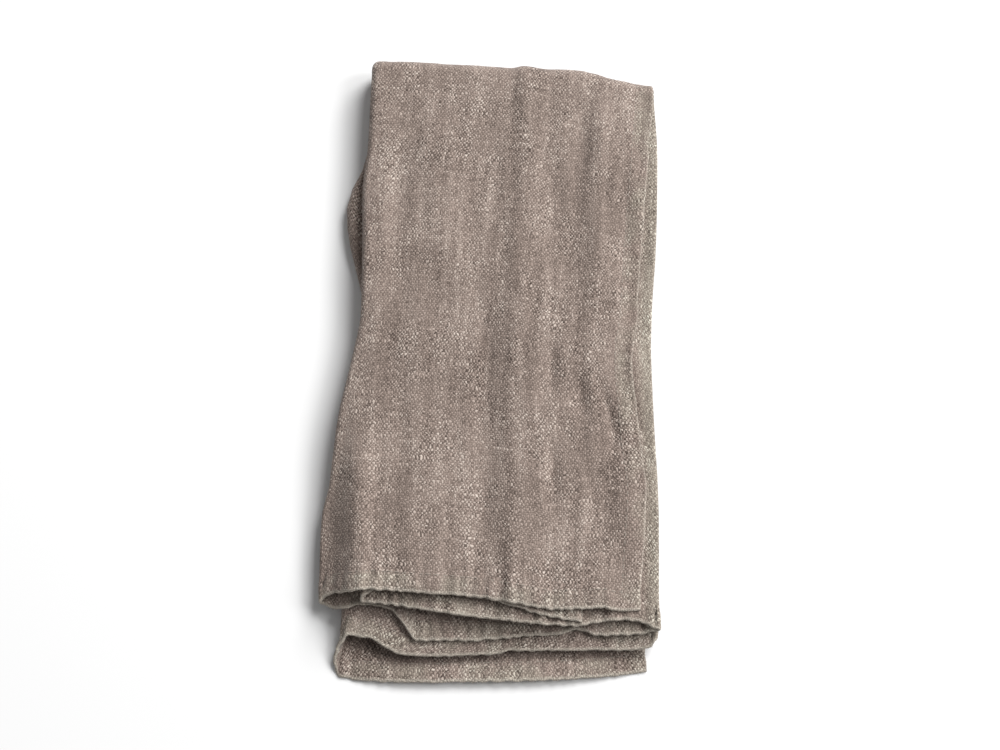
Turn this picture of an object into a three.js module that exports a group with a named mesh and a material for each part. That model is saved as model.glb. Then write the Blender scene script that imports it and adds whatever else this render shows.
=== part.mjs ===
// Folded linen napkin: one square hemmed cloth, folded in quarters lengthwise and in half across.
// Millimetres, +Z up. The crosswise fold is the far end, +Y; the open hems are the near end, -Y.
// The napkin lies flat on z = 0, with its origin under the middle of its bounding box.
import * as THREE from 'three';

// Cloth
const CLOTH_THICKNESS = 1.0;
const HEM_WIDTH = 7;
const HEM_EXTRA_THICKNESS = 0.25;
const HEM_STEP = 2;

// Height of each layer's centre above the middle of the stack; the same below it, mirrored.
// Going down the upper half the layers are outer, third, second, first.
const LAYER_HEIGHT = { outer: 6.0, third: 4.3, second: 2.6, first: 0.95 };
const STACK_MIDDLE = LAYER_HEIGHT.outer + CLOTH_THICKNESS / 2;

// A table with named columns, one row for each section, edge point or ridge.
function table(columns, ...rows) {
  return rows.map((row) => Object.fromEntries(columns.map((name, i) => [name, row[i]])));
}

// Sections across the upper half, from the open end to the crosswise fold.
// outerLeft, innerLeft and right are where the three lengthwise folds turn;
// outerHem and thirdHem are the two free side hems; flankDrop is how far the top layer
// falls from the inner fold to the outer one, and underDrop how far the layer that it joins
// there falls with it; loft stretches all heights.
const SECTION_COLUMNS = [
  'y', 'outerLeft', 'innerLeft', 'right', 'outerHem', 'thirdHem', 'flankDrop', 'underDrop', 'loft',
];
const UPPER_SECTIONS = table(
  SECTION_COLUMNS,
  [-106, -60.5, -46.4, 55.8, 49.6, 29.5, 6.0, 2.7, 1.0],
  [-93, -60.9, -46.4, 56.1, 49.9, 30, 6.0, 2.7, 1.0],
  [-69, -61.5, -46.6, 56.8, 51.6, 31.5, 6.1, 2.8, 1.0],
  [-61, -61.1, -46.8, 57, 52.4, 32.5, 5.6, 2.6, 1.0],
  [-52, -59.0, -46.9, 57, 52.6, 33.5, 4.5, 2.0, 0.99],
  [-40, -57.9, -46.2, 56.7, 51.5, 35, 3.2, 1.2, 0.98],
  [-27, -56.6, -45.5, 56.4, 50.6, 36, 2.0, 0.6, 0.97],
  [-4, -52.2, -43.5, 56.2, 49.7, 38.5, 0.8, 0, 0.94],
  [15, -49.4, -43, 57.1, 52.2, 40.5, 0.3, 0, 0.92],
  [39, -49.6, -44, 59.3, 54.3, 43, 0.2, 0, 0.92],
  [63, -50.2, -44.5, 60.6, 56.6, 45, 0.2, 0, 0.95],
  [83, -48.6, -43.5, 61.2, 58.4, 46.5, 0.2, 0, 0.98],
  [103, -48.2, -42.8, 60.3, 59.4, 47.5, 0.2, 0, 1.0],
  [113, -47.9, -42.8, 60.5, 60.1, 48, 0.2, 0, 1.0],
);

// Sections across the lower half, the same way. Its left fold bulges out from under the top
// layer between y = 30 and y = 80, and near the open end.
const LOWER_SECTIONS = table(
  SECTION_COLUMNS,
  [-119, -57.2, -45, 54, 52, 30, 0, 0, 1.0],
  [-112, -56.0, -44.8, 55, 52, 30, 0, 0, 1.0],
  [-104, -53.4, -44.5, 55.8, 51.5, 30.5, 0, 0, 1.0],
  [-60, -53.5, -44, 55.2, 51, 32, 0, 0, 1.0],
  [-27, -51.5, -43.5, 55, 51, 35, 0, 0, 0.98],
  [15, -48.6, -43, 56, 52.5, 39, 0, 0, 0.96],
  [32, -52.0, -43.8, 57, 54, 41, 0, 0, 0.96],
  [45, -55.2, -44.5, 58, 55, 42, 0, 0, 0.96],
  [57, -56.6, -44.8, 59, 56.3, 43.5, 0, 0, 0.96],
  [67, -54.6, -44.2, 59.6, 57, 44.5, 0, 0, 0.97],
  [79, -49.6, -43.5, 60.2, 58, 45.5, 0, 0, 0.98],
  [113, -47.9, -42.8, 60.5, 60.1, 48, 0, 0, 1.0],
);

// How the top layer falls over its left flank: a short soft shoulder, then an even slope.
const FLANK_SHAPE = table(['k', 'fall'], [-1, 0], [0, 0], [0.2, 0.13], [0.85, 0.93], [1, 1], [2, 1]);

// How far the top layer's right margin sinks, beyond the third layer's free side hem.
const MARGIN_DROP = 1.6;

// Front edges of the layers at the open end: how far forward each one ends, its lift there
// above the layer's own height, and the depth behind the edge over which the lift dies away.
const FRONT_COLUMNS = ['x', 'y', 'lift', 'depth'];
const UPPER_FRONTS = {
  outer: table(
    FRONT_COLUMNS,
    [-61, -92.5, -0.5, 13],
    [-56.5, -90.2, 0.7, 13],
    [-50, -90.5, 1.4, 16],
    [-43, -90.0, 1.9, 22],
    [-26, -91.3, 1.6, 28],
    [-6, -92.8, 1.4, 28],
    [6.5, -94.9, 1.1, 26],
    [19.5, -96.6, 0.6, 20],
    [31, -96.3, 0.3, 16],
    [36, -95.9, 0.4, 13],
    [43, -96.8, 0.2, 13],
    [50, -96.2, -0.1, 13],
  ),
  third: table(
    FRONT_COLUMNS,
    [-46.5, -92.8, 0.7, 22],
    [-40, -89.0, 1.2, 24],
    [-26, -89.0, 1.4, 28],
    [-7, -91.8, 1.3, 28],
    [6.5, -95.6, 0.9, 26],
    [14, -97.7, 0.7, 20],
    [24, -99.8, 0.3, 16],
    [30, -100.5, 0.2, 13],
  ),
  second: table(
    FRONT_COLUMNS,
    [-46.5, -93.4, 0.6, 22],
    [-42, -93.7, 0.9, 24],
    [-33.5, -94.8, 1.3, 28],
    [-15.5, -97.6, 1.3, 28],
    [-2, -99.2, 1.2, 28],
    [12, -100.8, 0.8, 22],
    [27.5, -101.7, 0.3, 16],
    [36, -100.2, 0.4, 13],
    [43, -99.6, 0.8, 13],
    [49, -100, 0.6, 13],
    [56, -102.8, 0, 13],
  ),
  first: table(
    FRONT_COLUMNS,
    [-61, -93, 0, 13],
    [-54, -95.3, 0.1, 13],
    [-46.5, -94, 0.1, 13],
    [-37, -95.2, 0.1, 13],
    [-32, -100.6, 0, 13],
    [-27.5, -106, -0.5, 8],
    [-10, -106.1, -0.7, 8],
    [12, -104.4, -0.7, 8],
    [23, -103.8, -0.6, 8],
    [28, -102.4, -0.5, 8],
    [36, -104.3, -0.4, 8],
    [48, -104.2, -0.2, 8],
    [56, -102.8, 0, 13],
  ),
};
const LOWER_FRONTS = {
  outer: table(
    FRONT_COLUMNS,
    [-57.5, -114, 0, 9],
    [-54.5, -116.4, 0, 9],
    [-51, -117.8, 0, 9],
    [-42, -119.2, 0.9, 9],
    [-26, -119.8, 1.8, 9],
    [12, -119.3, 1.9, 9],
    [34, -118.1, 1.0, 9],
    [47, -116.6, 0, 9],
    [56, -114.8, 0, 9],
  ),
  third: table(
    FRONT_COLUMNS,
    [-45, -103.5, 0, 10],
    [-24, -106.5, -0.2, 10],
    [30, -107, -0.2, 10],
  ),
  second: table(
    FRONT_COLUMNS,
    [-45, -103.5, 0, 10],
    [-24, -107, -0.5, 10],
    [40, -107, -0.5, 10],
    [55.5, -104.4, 0, 10],
  ),
  first: table(
    FRONT_COLUMNS,
    [-54, -104, 0.8, 13],
    [-45, -105.3, 1.5, 13],
    [-39.5, -108, 1.2, 13],
    [-31, -111, 0.1, 12],
    [-24, -111.4, -0.6, 10],
    [-2, -111.0, -0.9, 10],
    [5, -109.7, -0.8, 10],
    [46, -109.4, -0.7, 10],
    [52, -108.9, -0.5, 10],
    [56, -104.4, 0, 13],
  ),
};

// Where the crosswise fold turns, across the width: it slants back to the right.
const FOLD_LINE = table(
  ['x', 'y'],
  [-49, 113],
  [-33, 112.6],
  [-11, 111.2],
  [2, 110.3],
  [28, 109.4],
  [37, 108.2],
  [43, 106],
  [52, 104.3],
  [61, 103.3],
);

// Soft ridges (+) and troughs (-) in the upper layers, each along a line between two points.
// They fade in and out over RIDGE_FADE either side of their ends.
const RIDGE_FADE = 10;
const RIDGES = table(
  ['x0', 'y0', 'x1', 'y1', 'width', 'height'],
  [11, 118, 10, 60, 5, 1.0],
  [10, 60, 6.5, 12, 5, 1.3],
  [6.5, 12, 6, -100, 6, 1.7],
  [-3, 16, -4, -80, 5, -0.5],
  [-49, -40, -47.5, -100, 5, 1.2],
  [-32, -64, -16, -90, 20, 0.8],
  [-24, 110, -20, 30, 7, 0.9],
  [-37, 80, -41, -20, 6, -0.5],
  [33, 96, 31, 66, 5, -0.5],
  [39, 100, 38, 20, 5, 1.1],
  [29, 55, 28, 22, 5, -0.4],
  [45, -44, 45, -73, 5, 1.2],
  [37, -46, 37, -72, 5, -0.5],
);

// Which two layers each lengthwise fold joins, which side it opens to, and its divisions.
const FOLDS = {
  outerLeft: { layers: ['outer', 'first'], opens: 1, steps: 6 },
  right: { layers: ['first', 'second'], opens: -1, steps: 4 },
  innerLeft: { layers: ['second', 'third'], opens: 1, steps: 4 },
};

// The four layers in the order in which the section runs through them, and their divisions.
const LAYERS = {
  outer: { from: 'outerHem', to: 'outerLeft', steps: 26 },
  first: { from: 'outerLeft', to: 'right', steps: 14 },
  second: { from: 'right', to: 'innerLeft', steps: 12 },
  third: { from: 'innerLeft', to: 'thirdHem', steps: 10 },
};
const SIDE_HEMS = { outer: 'outerHem', third: 'thirdHem' };

// Rows behind a front edge, by distance, then even shares of the way to the crosswise fold.
const FRONT_ROWS = [0, 3.2, 6.4, 8.4, 15];
const UPPER_ROWS = 12;
const LOWER_ROWS = 8;
const FOLD_ROWS = 8;

// Roughly where the front edges lie, to start the search for each column's own.
const FRONT_GUESS = { upper: -95, lower: -110 };

const LINEN = new THREE.MeshStandardMaterial({ color: 0x94857e, roughness: 0.95, metalness: 0 });

function clamp01(value) {
  return Math.min(1, Math.max(0, value));
}

function smoothstep(value) {
  const k = clamp01(value);
  return k * k * (3 - 2 * k);
}

// A smooth curve through one column of a table, which never overshoots its points.
function curveThrough(table, keyColumn, column) {
  const keys = table.map((row) => row[keyColumn]);
  const values = table.map((row) => row[column]);
  const last = keys.length - 1;
  const slopes = [];
  for (let i = 0; i < last; i += 1) {
    slopes.push((values[i + 1] - values[i]) / (keys[i + 1] - keys[i]));
  }
  const tangents = values.map((_, i) => {
    if (i === 0) return slopes[0];
    if (i === last) return slopes[last - 1];
    const before = slopes[i - 1];
    const after = slopes[i];
    return before * after <= 0 ? 0 : (2 * before * after) / (before + after);
  });
  return (key) => {
    if (key <= keys[0]) return values[0];
    if (key >= keys[last]) return values[last];
    let i = 0;
    while (key > keys[i + 1]) i += 1;
    const span = keys[i + 1] - keys[i];
    const k = (key - keys[i]) / span;
    const rise = tangents[i] * span * k * (1 - k) ** 2 - tangents[i + 1] * span * k * k * (1 - k);
    return values[i] + (values[i + 1] - values[i]) * k * k * (3 - 2 * k) + rise;
  };
}

function curvesOf(table, keyColumn) {
  const columns = Object.keys(table[0]).filter((name) => name !== keyColumn);
  return Object.fromEntries(columns.map((name) => [name, curveThrough(table, keyColumn, name)]));
}

function frontCurves(fronts) {
  return Object.fromEntries(Object.entries(fronts).map(([name, table]) => [name, curvesOf(table, 'x')]));
}

const flankFall = curvesOf(FLANK_SHAPE, 'k').fall;
const foldLine = curvesOf(FOLD_LINE, 'x').y;
const FOLD_STATION = foldLine(0);
const halves = {
  upper: {
    side: 1,
    sections: curvesOf(UPPER_SECTIONS, 'y'),
    fronts: frontCurves(UPPER_FRONTS),
    frontGuess: FRONT_GUESS.upper,
  },
  lower: {
    side: -1,
    sections: curvesOf(LOWER_SECTIONS, 'y'),
    fronts: frontCurves(LOWER_FRONTS),
    frontGuess: FRONT_GUESS.lower,
  },
};

// The soft relief of the upper layers at a place on the table.
function reliefAt(x, y) {
  return RIDGES.reduce((sum, ridge) => {
    const dx = ridge.x1 - ridge.x0;
    const dy = ridge.y1 - ridge.y0;
    const length = Math.hypot(dx, dy);
    const along = ((x - ridge.x0) * dx + (y - ridge.y0) * dy) / length;
    const away = ((x - ridge.x0) * dy - (y - ridge.y0) * dx) / length / ridge.width;
    const fade = Math.min(RIDGE_FADE, length / 2);
    const begin = smoothstep((along + fade) / (2 * fade));
    const end = smoothstep((length + fade - along) / (2 * fade));
    return sum + ridge.height * begin * end * Math.exp(-away * away);
  }, 0);
}

// One column of the grid for each place along the section, from the outer layer's free side
// hem to the third layer's: four flat layers joined by three folds.
function sectionColumns() {
  const columns = [];
  for (const [layer, { to, steps }] of Object.entries(LAYERS)) {
    for (let i = 0; i <= steps; i += 1) columns.push({ layer, along: i / steps });
    if (!FOLDS[to]) break;
    for (let i = 1; i < FOLDS[to].steps; i += 1) columns.push({ fold: to, along: i / FOLDS[to].steps });
  }
  return columns;
}

// A layer's height from the middle of the stack, at a place on the table. The relief is
// strongest in the top layer and dies away towards the bottom of the stack.
function layerHeight(half, layer, x, y) {
  const { sections, fronts, side } = half;
  const outerFoldX = sections.outerLeft(y);
  const innerFoldX = sections.innerLeft(y);
  const flank = (innerFoldX - x) / (innerFoldX - outerFoldX);
  let drop = 0;
  if (layer === 'first') drop = sections.underDrop(y) * smoothstep((flank - 0.25) / 0.75);
  if (layer === 'outer') {
    const thirdHemX = sections.thirdHem(y);
    const margin = smoothstep((x - thirdHemX) / (sections.outerHem(y) - thirdHemX));
    drop = sections.flankDrop(y) * flankFall(flank) + (side > 0 ? MARGIN_DROP * margin : 0);
  }
  const front = fronts[layer];
  const behind = Math.max(0, y - front.y(x));
  const lift = front.lift(x) * Math.exp(-2 * (behind / front.depth(x)) ** 2);
  const bottom = LAYER_HEIGHT.first;
  const share = THREE.MathUtils.lerp(0.25, 1, (LAYER_HEIGHT[layer] - bottom) / (LAYER_HEIGHT.outer - bottom));
  const relief = side > 0 ? reliefAt(x, y) * share : 0;
  return LAYER_HEIGHT[layer] * sections.loft(y) - drop + relief + lift * side;
}

// The section's x and height for a column, where the half's path has reached y.
function sectionPoint(half, column, y) {
  const { sections } = half;
  const foldAt = (name) => {
    const x = sections[name](y);
    const [one, other] = FOLDS[name].layers;
    const radius = Math.abs(layerHeight(half, one, x, y) - layerHeight(half, other, x, y)) / 2;
    return { radius, centre: x + FOLDS[name].opens * radius };
  };
  if (column.layer) {
    const endOf = (name) => (FOLDS[name] ? foldAt(name).centre : sections[name](y));
    const { from, to } = LAYERS[column.layer];
    const x = THREE.MathUtils.lerp(endOf(from), endOf(to), column.along);
    return { x, height: layerHeight(half, column.layer, x, y) };
  }
  const { layers, opens } = FOLDS[column.fold];
  const { radius, centre } = foldAt(column.fold);
  const [start, end] = layers.map((layer) => layerHeight(half, layer, centre, y));
  const angle = Math.PI * column.along;
  return {
    x: centre - opens * radius * Math.sin(angle),
    height: (start + end) / 2 + ((start - end) / 2) * Math.cos(angle),
  };
}

// How far forward the front edge of a column lies.
function frontOf(half, column) {
  const { x } = sectionPoint(half, column, half.frontGuess);
  if (column.layer) return half.fronts[column.layer].y(x);
  const [start, end] = FOLDS[column.fold].layers.map((layer) => half.fronts[layer].y(x));
  return THREE.MathUtils.lerp(start, end, smoothstep(column.along));
}

// The rows of the grid, along the path from the upper front edge, round the fold and back.
function pathRows() {
  const run = (half, count) => {
    const rows = FRONT_ROWS.map((behind) => ({ half, behind, share: 0 }));
    for (let i = 1; i <= count; i += 1) rows.push({ half, behind: FRONT_ROWS.at(-1), share: i / count });
    return rows;
  };
  const turn = [];
  for (let i = 1; i < FOLD_ROWS; i += 1) turn.push({ half: 'fold', turn: i / FOLD_ROWS });
  return [...run('upper', UPPER_ROWS), ...turn, ...run('lower', LOWER_ROWS).reverse()];
}

// The centre of the cloth at a column and a row.
function clothPoint(column, row) {
  if (row.half === 'fold') {
    const upper = sectionPoint(halves.upper, column, FOLD_STATION);
    const lower = sectionPoint(halves.lower, column, FOLD_STATION);
    const x = THREE.MathUtils.lerp(upper.x, lower.x, row.turn);
    const height = THREE.MathUtils.lerp(upper.height, lower.height, smoothstep(row.turn));
    const angle = Math.PI * row.turn;
    return new THREE.Vector3(
      x,
      foldLine(x) + height * Math.sin(angle),
      STACK_MIDDLE + height * Math.cos(angle),
    );
  }
  const half = halves[row.half];
  const front = frontOf(half, column);
  const place = (x) => THREE.MathUtils.lerp(front + row.behind, foldLine(x), row.share);
  const guess = sectionPoint(half, column, place(0));
  const y = place(guess.x);
  const { x, height } = sectionPoint(half, column, y);
  return new THREE.Vector3(x, y, STACK_MIDDLE + half.side * height);
}

// Thicker where a hem is turned: along both ends of the path and both free sides.
function thicknessAt(column, row, point) {
  const hem = (distance) => 1 - smoothstep((distance - HEM_WIDTH) / HEM_STEP + 0.5);
  const atFront = row.share === 0 ? hem(row.behind) : 0;
  const sideHem = SIDE_HEMS[column.layer];
  const { sections } = row.half === 'lower' ? halves.lower : halves.upper;
  const atSide = sideHem ? hem(Math.abs(sections[sideHem](point.y) - point.x)) : 0;
  return CLOTH_THICKNESS + HEM_EXTRA_THICKNESS * Math.max(atFront, atSide);
}

// The corners of the two skins, half a thickness either side of the centre. Cloth that comes
// this close to the surface it lies on is flat on it, so the napkin rests evenly.
const FLAT_BELOW = 0.06;
function skinPositions(columns, rows) {
  const centres = rows.map((row) => columns.map((column) => clothPoint(column, row)));
  const within = (i, count) => Math.min(count - 1, Math.max(0, i));
  const at = (r, c) => centres[within(r, rows.length)][within(c, columns.length)];
  const positions = [];
  for (const side of [1, -1]) {
    rows.forEach((row, r) => {
      columns.forEach((column, c) => {
        const across = at(r, c + 1).clone().sub(at(r, c - 1));
        const along = at(r + 1, c).clone().sub(at(r - 1, c));
        const normal = along.cross(across).normalize();
        const offset = (side * thicknessAt(column, row, at(r, c))) / 2;
        const corner = at(r, c).clone().addScaledVector(normal, offset);
        positions.push(corner.x, corner.y, corner.z < FLAT_BELOW ? 0 : corner.z);
      });
    });
  }
  return positions;
}

// The faces of both skins and of the four edge walls that close them into one solid.
function skinFaces(width, depth) {
  const index = [];
  const edge = width - 1;
  const end = depth - 1;
  const outside = (r, c) => r * width + c;
  const inside = (r, c) => (depth + r) * width + c;
  const addQuad = (a, b, c, d) => index.push(a, b, c, a, c, d);
  for (let r = 0; r < end; r += 1) {
    for (let c = 0; c < edge; c += 1) {
      addQuad(outside(r, c), outside(r + 1, c), outside(r + 1, c + 1), outside(r, c + 1));
      addQuad(inside(r, c), inside(r, c + 1), inside(r + 1, c + 1), inside(r + 1, c));
    }
  }
  for (let c = 0; c < edge; c += 1) {
    addQuad(outside(0, c), outside(0, c + 1), inside(0, c + 1), inside(0, c));
    addQuad(outside(end, c), inside(end, c), inside(end, c + 1), outside(end, c + 1));
  }
  for (let r = 0; r < end; r += 1) {
    addQuad(outside(r, 0), inside(r, 0), inside(r + 1, 0), outside(r + 1, 0));
    addQuad(outside(r, edge), outside(r + 1, edge), inside(r + 1, edge), inside(r, edge));
  }
  return index;
}

// The whole cloth as one closed solid, centred over the origin.
function clothGeometry() {
  const columns = sectionColumns();
  const rows = pathRows();
  const geometry = new THREE.BufferGeometry();
  const positions = skinPositions(columns, rows);
  geometry.setAttribute('position', new THREE.Float32BufferAttribute(positions, 3));
  geometry.setIndex(skinFaces(columns.length, rows.length));
  geometry.computeBoundingBox();
  const centre = geometry.boundingBox.getCenter(new THREE.Vector3());
  geometry.translate(-centre.x, -centre.y, 0);
  geometry.computeVertexNormals();
  return geometry;
}

const napkin = new THREE.Group();
const cloth = new THREE.Mesh(clothGeometry(), LINEN);
cloth.name = 'napkin_cloth';
napkin.add(cloth);

export default napkin;
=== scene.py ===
# %% [markdown]
# A folded linen napkin
# This lesson dresses one folded napkin. The packed model gives its true place and size, and
# everything here is made around that frame in metres. The first step loads the frame and keeps
# its box, and the cloth is later set over the middle of that box.

# %% Load the frame
import math

import bpy
import numpy as np
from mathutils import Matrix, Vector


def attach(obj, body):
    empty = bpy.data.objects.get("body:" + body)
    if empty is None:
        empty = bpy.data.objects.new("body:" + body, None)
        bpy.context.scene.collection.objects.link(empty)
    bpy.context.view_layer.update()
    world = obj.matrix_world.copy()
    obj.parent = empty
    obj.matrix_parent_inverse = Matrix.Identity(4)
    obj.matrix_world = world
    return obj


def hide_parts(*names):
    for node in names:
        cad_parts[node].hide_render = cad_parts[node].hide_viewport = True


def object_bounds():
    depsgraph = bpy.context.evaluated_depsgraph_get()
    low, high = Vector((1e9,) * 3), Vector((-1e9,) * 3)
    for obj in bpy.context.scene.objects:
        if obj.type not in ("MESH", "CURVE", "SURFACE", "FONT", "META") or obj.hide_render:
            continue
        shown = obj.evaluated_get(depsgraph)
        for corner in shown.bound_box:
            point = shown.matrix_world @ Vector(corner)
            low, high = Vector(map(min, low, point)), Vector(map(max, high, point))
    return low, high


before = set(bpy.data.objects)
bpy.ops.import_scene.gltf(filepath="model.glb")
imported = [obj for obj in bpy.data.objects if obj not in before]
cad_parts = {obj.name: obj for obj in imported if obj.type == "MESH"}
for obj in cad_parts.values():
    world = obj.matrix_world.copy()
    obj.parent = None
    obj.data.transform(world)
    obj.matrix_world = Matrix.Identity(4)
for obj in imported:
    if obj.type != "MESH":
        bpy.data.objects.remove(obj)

CAD_BOX = [list(map(float, corner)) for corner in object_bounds()]
MM = 0.001
print("model box, mm:", [[round(c / MM, 1) for c in corner] for corner in CAD_BOX])

# %% [markdown]
# The camera
# The napkin was seen from above its open end, steeply but not straight down: the lens looks
# along +Y and 71 degrees below the horizon. A point on the table sits in the middle of the
# picture, and the distance and lens give the napkin its size in the frame.

# %% Camera
CAMERA_ELEVATION = math.radians(71)
CAMERA_DISTANCE = 568 * MM
CAMERA_TARGET = (1.6 * MM, -7.0 * MM, 0)
LENS_MM = 55.44
SENSOR_MM = 36

camera_data = bpy.data.cameras.new("photo_camera")
camera_data.lens = LENS_MM
camera_data.sensor_width = SENSOR_MM
camera_data.clip_start = 0.01
camera_data.clip_end = 20
camera = bpy.data.objects.new("photo_camera", camera_data)
camera.location = (
    CAMERA_TARGET[0],
    CAMERA_TARGET[1] - CAMERA_DISTANCE * math.cos(CAMERA_ELEVATION),
    CAMERA_TARGET[2] + CAMERA_DISTANCE * math.sin(CAMERA_ELEVATION),
)
camera.rotation_euler = (math.pi / 2 - CAMERA_ELEVATION, 0, 0)
bpy.context.scene.collection.objects.link(camera)
bpy.context.scene.camera = camera
print("camera at", [round(c, 3) for c in camera.location])

# %% [markdown]
# Tables and curves
# Every fold is described by a short table with named columns, in millimetres. A smooth curve is
# drawn through each column. It is a cubic whose slope is zero wherever the column turns, so it
# never swings past the numbers in the table, which keeps neighbouring layers apart.

# %% Tables and curves
def curve_through(keys, values):
    keys = np.asarray(keys, float)
    values = np.asarray(values, float)
    spans = np.diff(keys)
    slopes = np.diff(values) / spans
    tangents = np.zeros(len(keys))
    tangents[0] = slopes[0]
    tangents[-1] = slopes[-1]
    before, after = slopes[:-1], slopes[1:]
    turning = before * after <= 0
    total = np.where(turning, 1.0, before + after)
    tangents[1:-1] = np.where(turning, 0.0, 2 * before * after / total)

    def value_at(key):
        key = np.clip(key, keys[0], keys[-1])
        i = np.clip(np.searchsorted(keys, key, side="right") - 1, 0, len(keys) - 2)
        k = (key - keys[i]) / spans[i]
        rise = tangents[i] * spans[i] * k * (1 - k) ** 2
        rise -= tangents[i + 1] * spans[i] * k * k * (1 - k)
        return values[i] + (values[i + 1] - values[i]) * k * k * (3 - 2 * k) + rise

    return value_at


def curves_of(columns, rows):
    table = np.array(rows, float)
    return {name: curve_through(table[:, 0], table[:, i]) for i, name in enumerate(columns)}


def smoothstep(value):
    k = np.clip(value, 0, 1)
    return k * k * (3 - 2 * k)


def mix(a, b, k):
    return a + (b - a) * k


print("a curve through 0, 1, 0 at its middle:", float(curve_through([0, 1, 2], [0, 1, 0])(1.0)))

# %% [markdown]
# The folds
# The cloth is folded in quarters lengthwise and then in half across. Going down the upper half,
# the layers are called outer, third, second and first, and the lower half mirrors them. A
# section across the napkin starts at the outer layer's free side hem on the right, turns at
# the outer left fold, at the right fold and at the inner left fold, and ends at the third
# layer's free side hem. The tables say where each of these lies at some stations along Y.

# %% Fold tables
CLOTH_THICKNESS = 0.75
HEM_THICKNESS = 1.15
LAYER_HEIGHT = {"outer": 6.0, "third": 4.3, "second": 2.6, "first": 0.95}
STACK_MIDDLE = LAYER_HEIGHT["outer"] + CLOTH_THICKNESS / 2

# flank_drop and under_drop say how far the left flank hangs down, and loft how full the stack is.
SECTION_COLUMNS = (
    "y", "outer_left", "inner_left", "right", "outer_hem", "third_hem", "flank_drop",
    "under_drop", "loft",
)
UPPER_SECTIONS = curves_of(SECTION_COLUMNS, [
    (-106, -60.5, -46.4, 55.8, 49.6, 29.5, 6.0, 2.7, 1.0),
    (-93, -60.9, -46.4, 56.1, 49.9, 30, 6.0, 2.7, 1.0),
    (-69, -61.5, -46.6, 56.8, 51.6, 31.5, 6.1, 2.8, 1.0),
    (-61, -61.1, -46.8, 57, 52.4, 32.5, 5.6, 2.6, 1.0),
    (-52, -59.0, -46.9, 57, 52.6, 33.5, 4.5, 2.0, 0.99),
    (-40, -57.9, -46.2, 56.7, 51.5, 35, 3.2, 1.2, 0.98),
    (-27, -56.6, -45.5, 56.4, 50.6, 36, 2.0, 0.6, 0.97),
    (-4, -52.2, -43.5, 56.2, 49.7, 38.5, 0.8, 0, 0.94),
    (15, -49.4, -43, 57.1, 52.2, 40.5, 0.3, 0, 0.92),
    (39, -49.6, -44, 59.3, 54.3, 43, 0.2, 0, 0.92),
    (63, -50.2, -44.5, 60.6, 56.6, 45, 0.2, 0, 0.95),
    (83, -48.6, -43.5, 61.2, 58.4, 46.5, 0.2, 0, 0.98),
    (103, -48.2, -42.8, 60.6, 60.4, 47.5, 0.2, 0, 1.0),
    (113, -47.9, -42.8, 60.8, 61.2, 48, 0.2, 0, 1.0),
])
LOWER_SECTIONS = curves_of(SECTION_COLUMNS, [
    (-119, -57.2, -45, 54, 52, 30, 0, 0, 1.0),
    (-112, -56.0, -44.8, 55, 52, 30, 0, 0, 1.0),
    (-104, -53.4, -44.5, 55.8, 51.5, 30.5, 0, 0, 1.0),
    (-60, -53.5, -44, 55.2, 51, 32, 0, 0, 1.0),
    (-27, -51.5, -43.5, 55, 51, 35, 0, 0, 0.98),
    (15, -48.6, -43, 56, 52.5, 39, 0, 0, 0.96),
    (32, -52.0, -43.8, 57, 54, 41, 0, 0, 0.96),
    (45, -55.2, -44.5, 58, 55, 42, 0, 0, 0.96),
    (57, -56.6, -44.8, 59, 56.3, 43.5, 0, 0, 0.96),
    (67, -54.6, -44.2, 59.6, 57, 44.5, 0, 0, 0.97),
    (79, -49.6, -43.5, 60.2, 58, 45.5, 0, 0, 0.98),
    (113, -47.9, -42.8, 60.5, 60.1, 48, 0, 0, 1.0),
])
print("eight layers stand about", round(2 * STACK_MIDDLE, 1), "mm high")

# %% [markdown]
# The open end
# Each layer ends a little further forward than the one above it, and no edge is straight: the
# hems pull in, a corner droops and one layer turns back on the left. A row gives a point of
# the edge, how far it is lifted, and over what depth behind the edge the lift dies away. One
# could also pull such edges into place by hand with the sculpting brushes, but a table can be
# read again and mended one number at a time.

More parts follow.
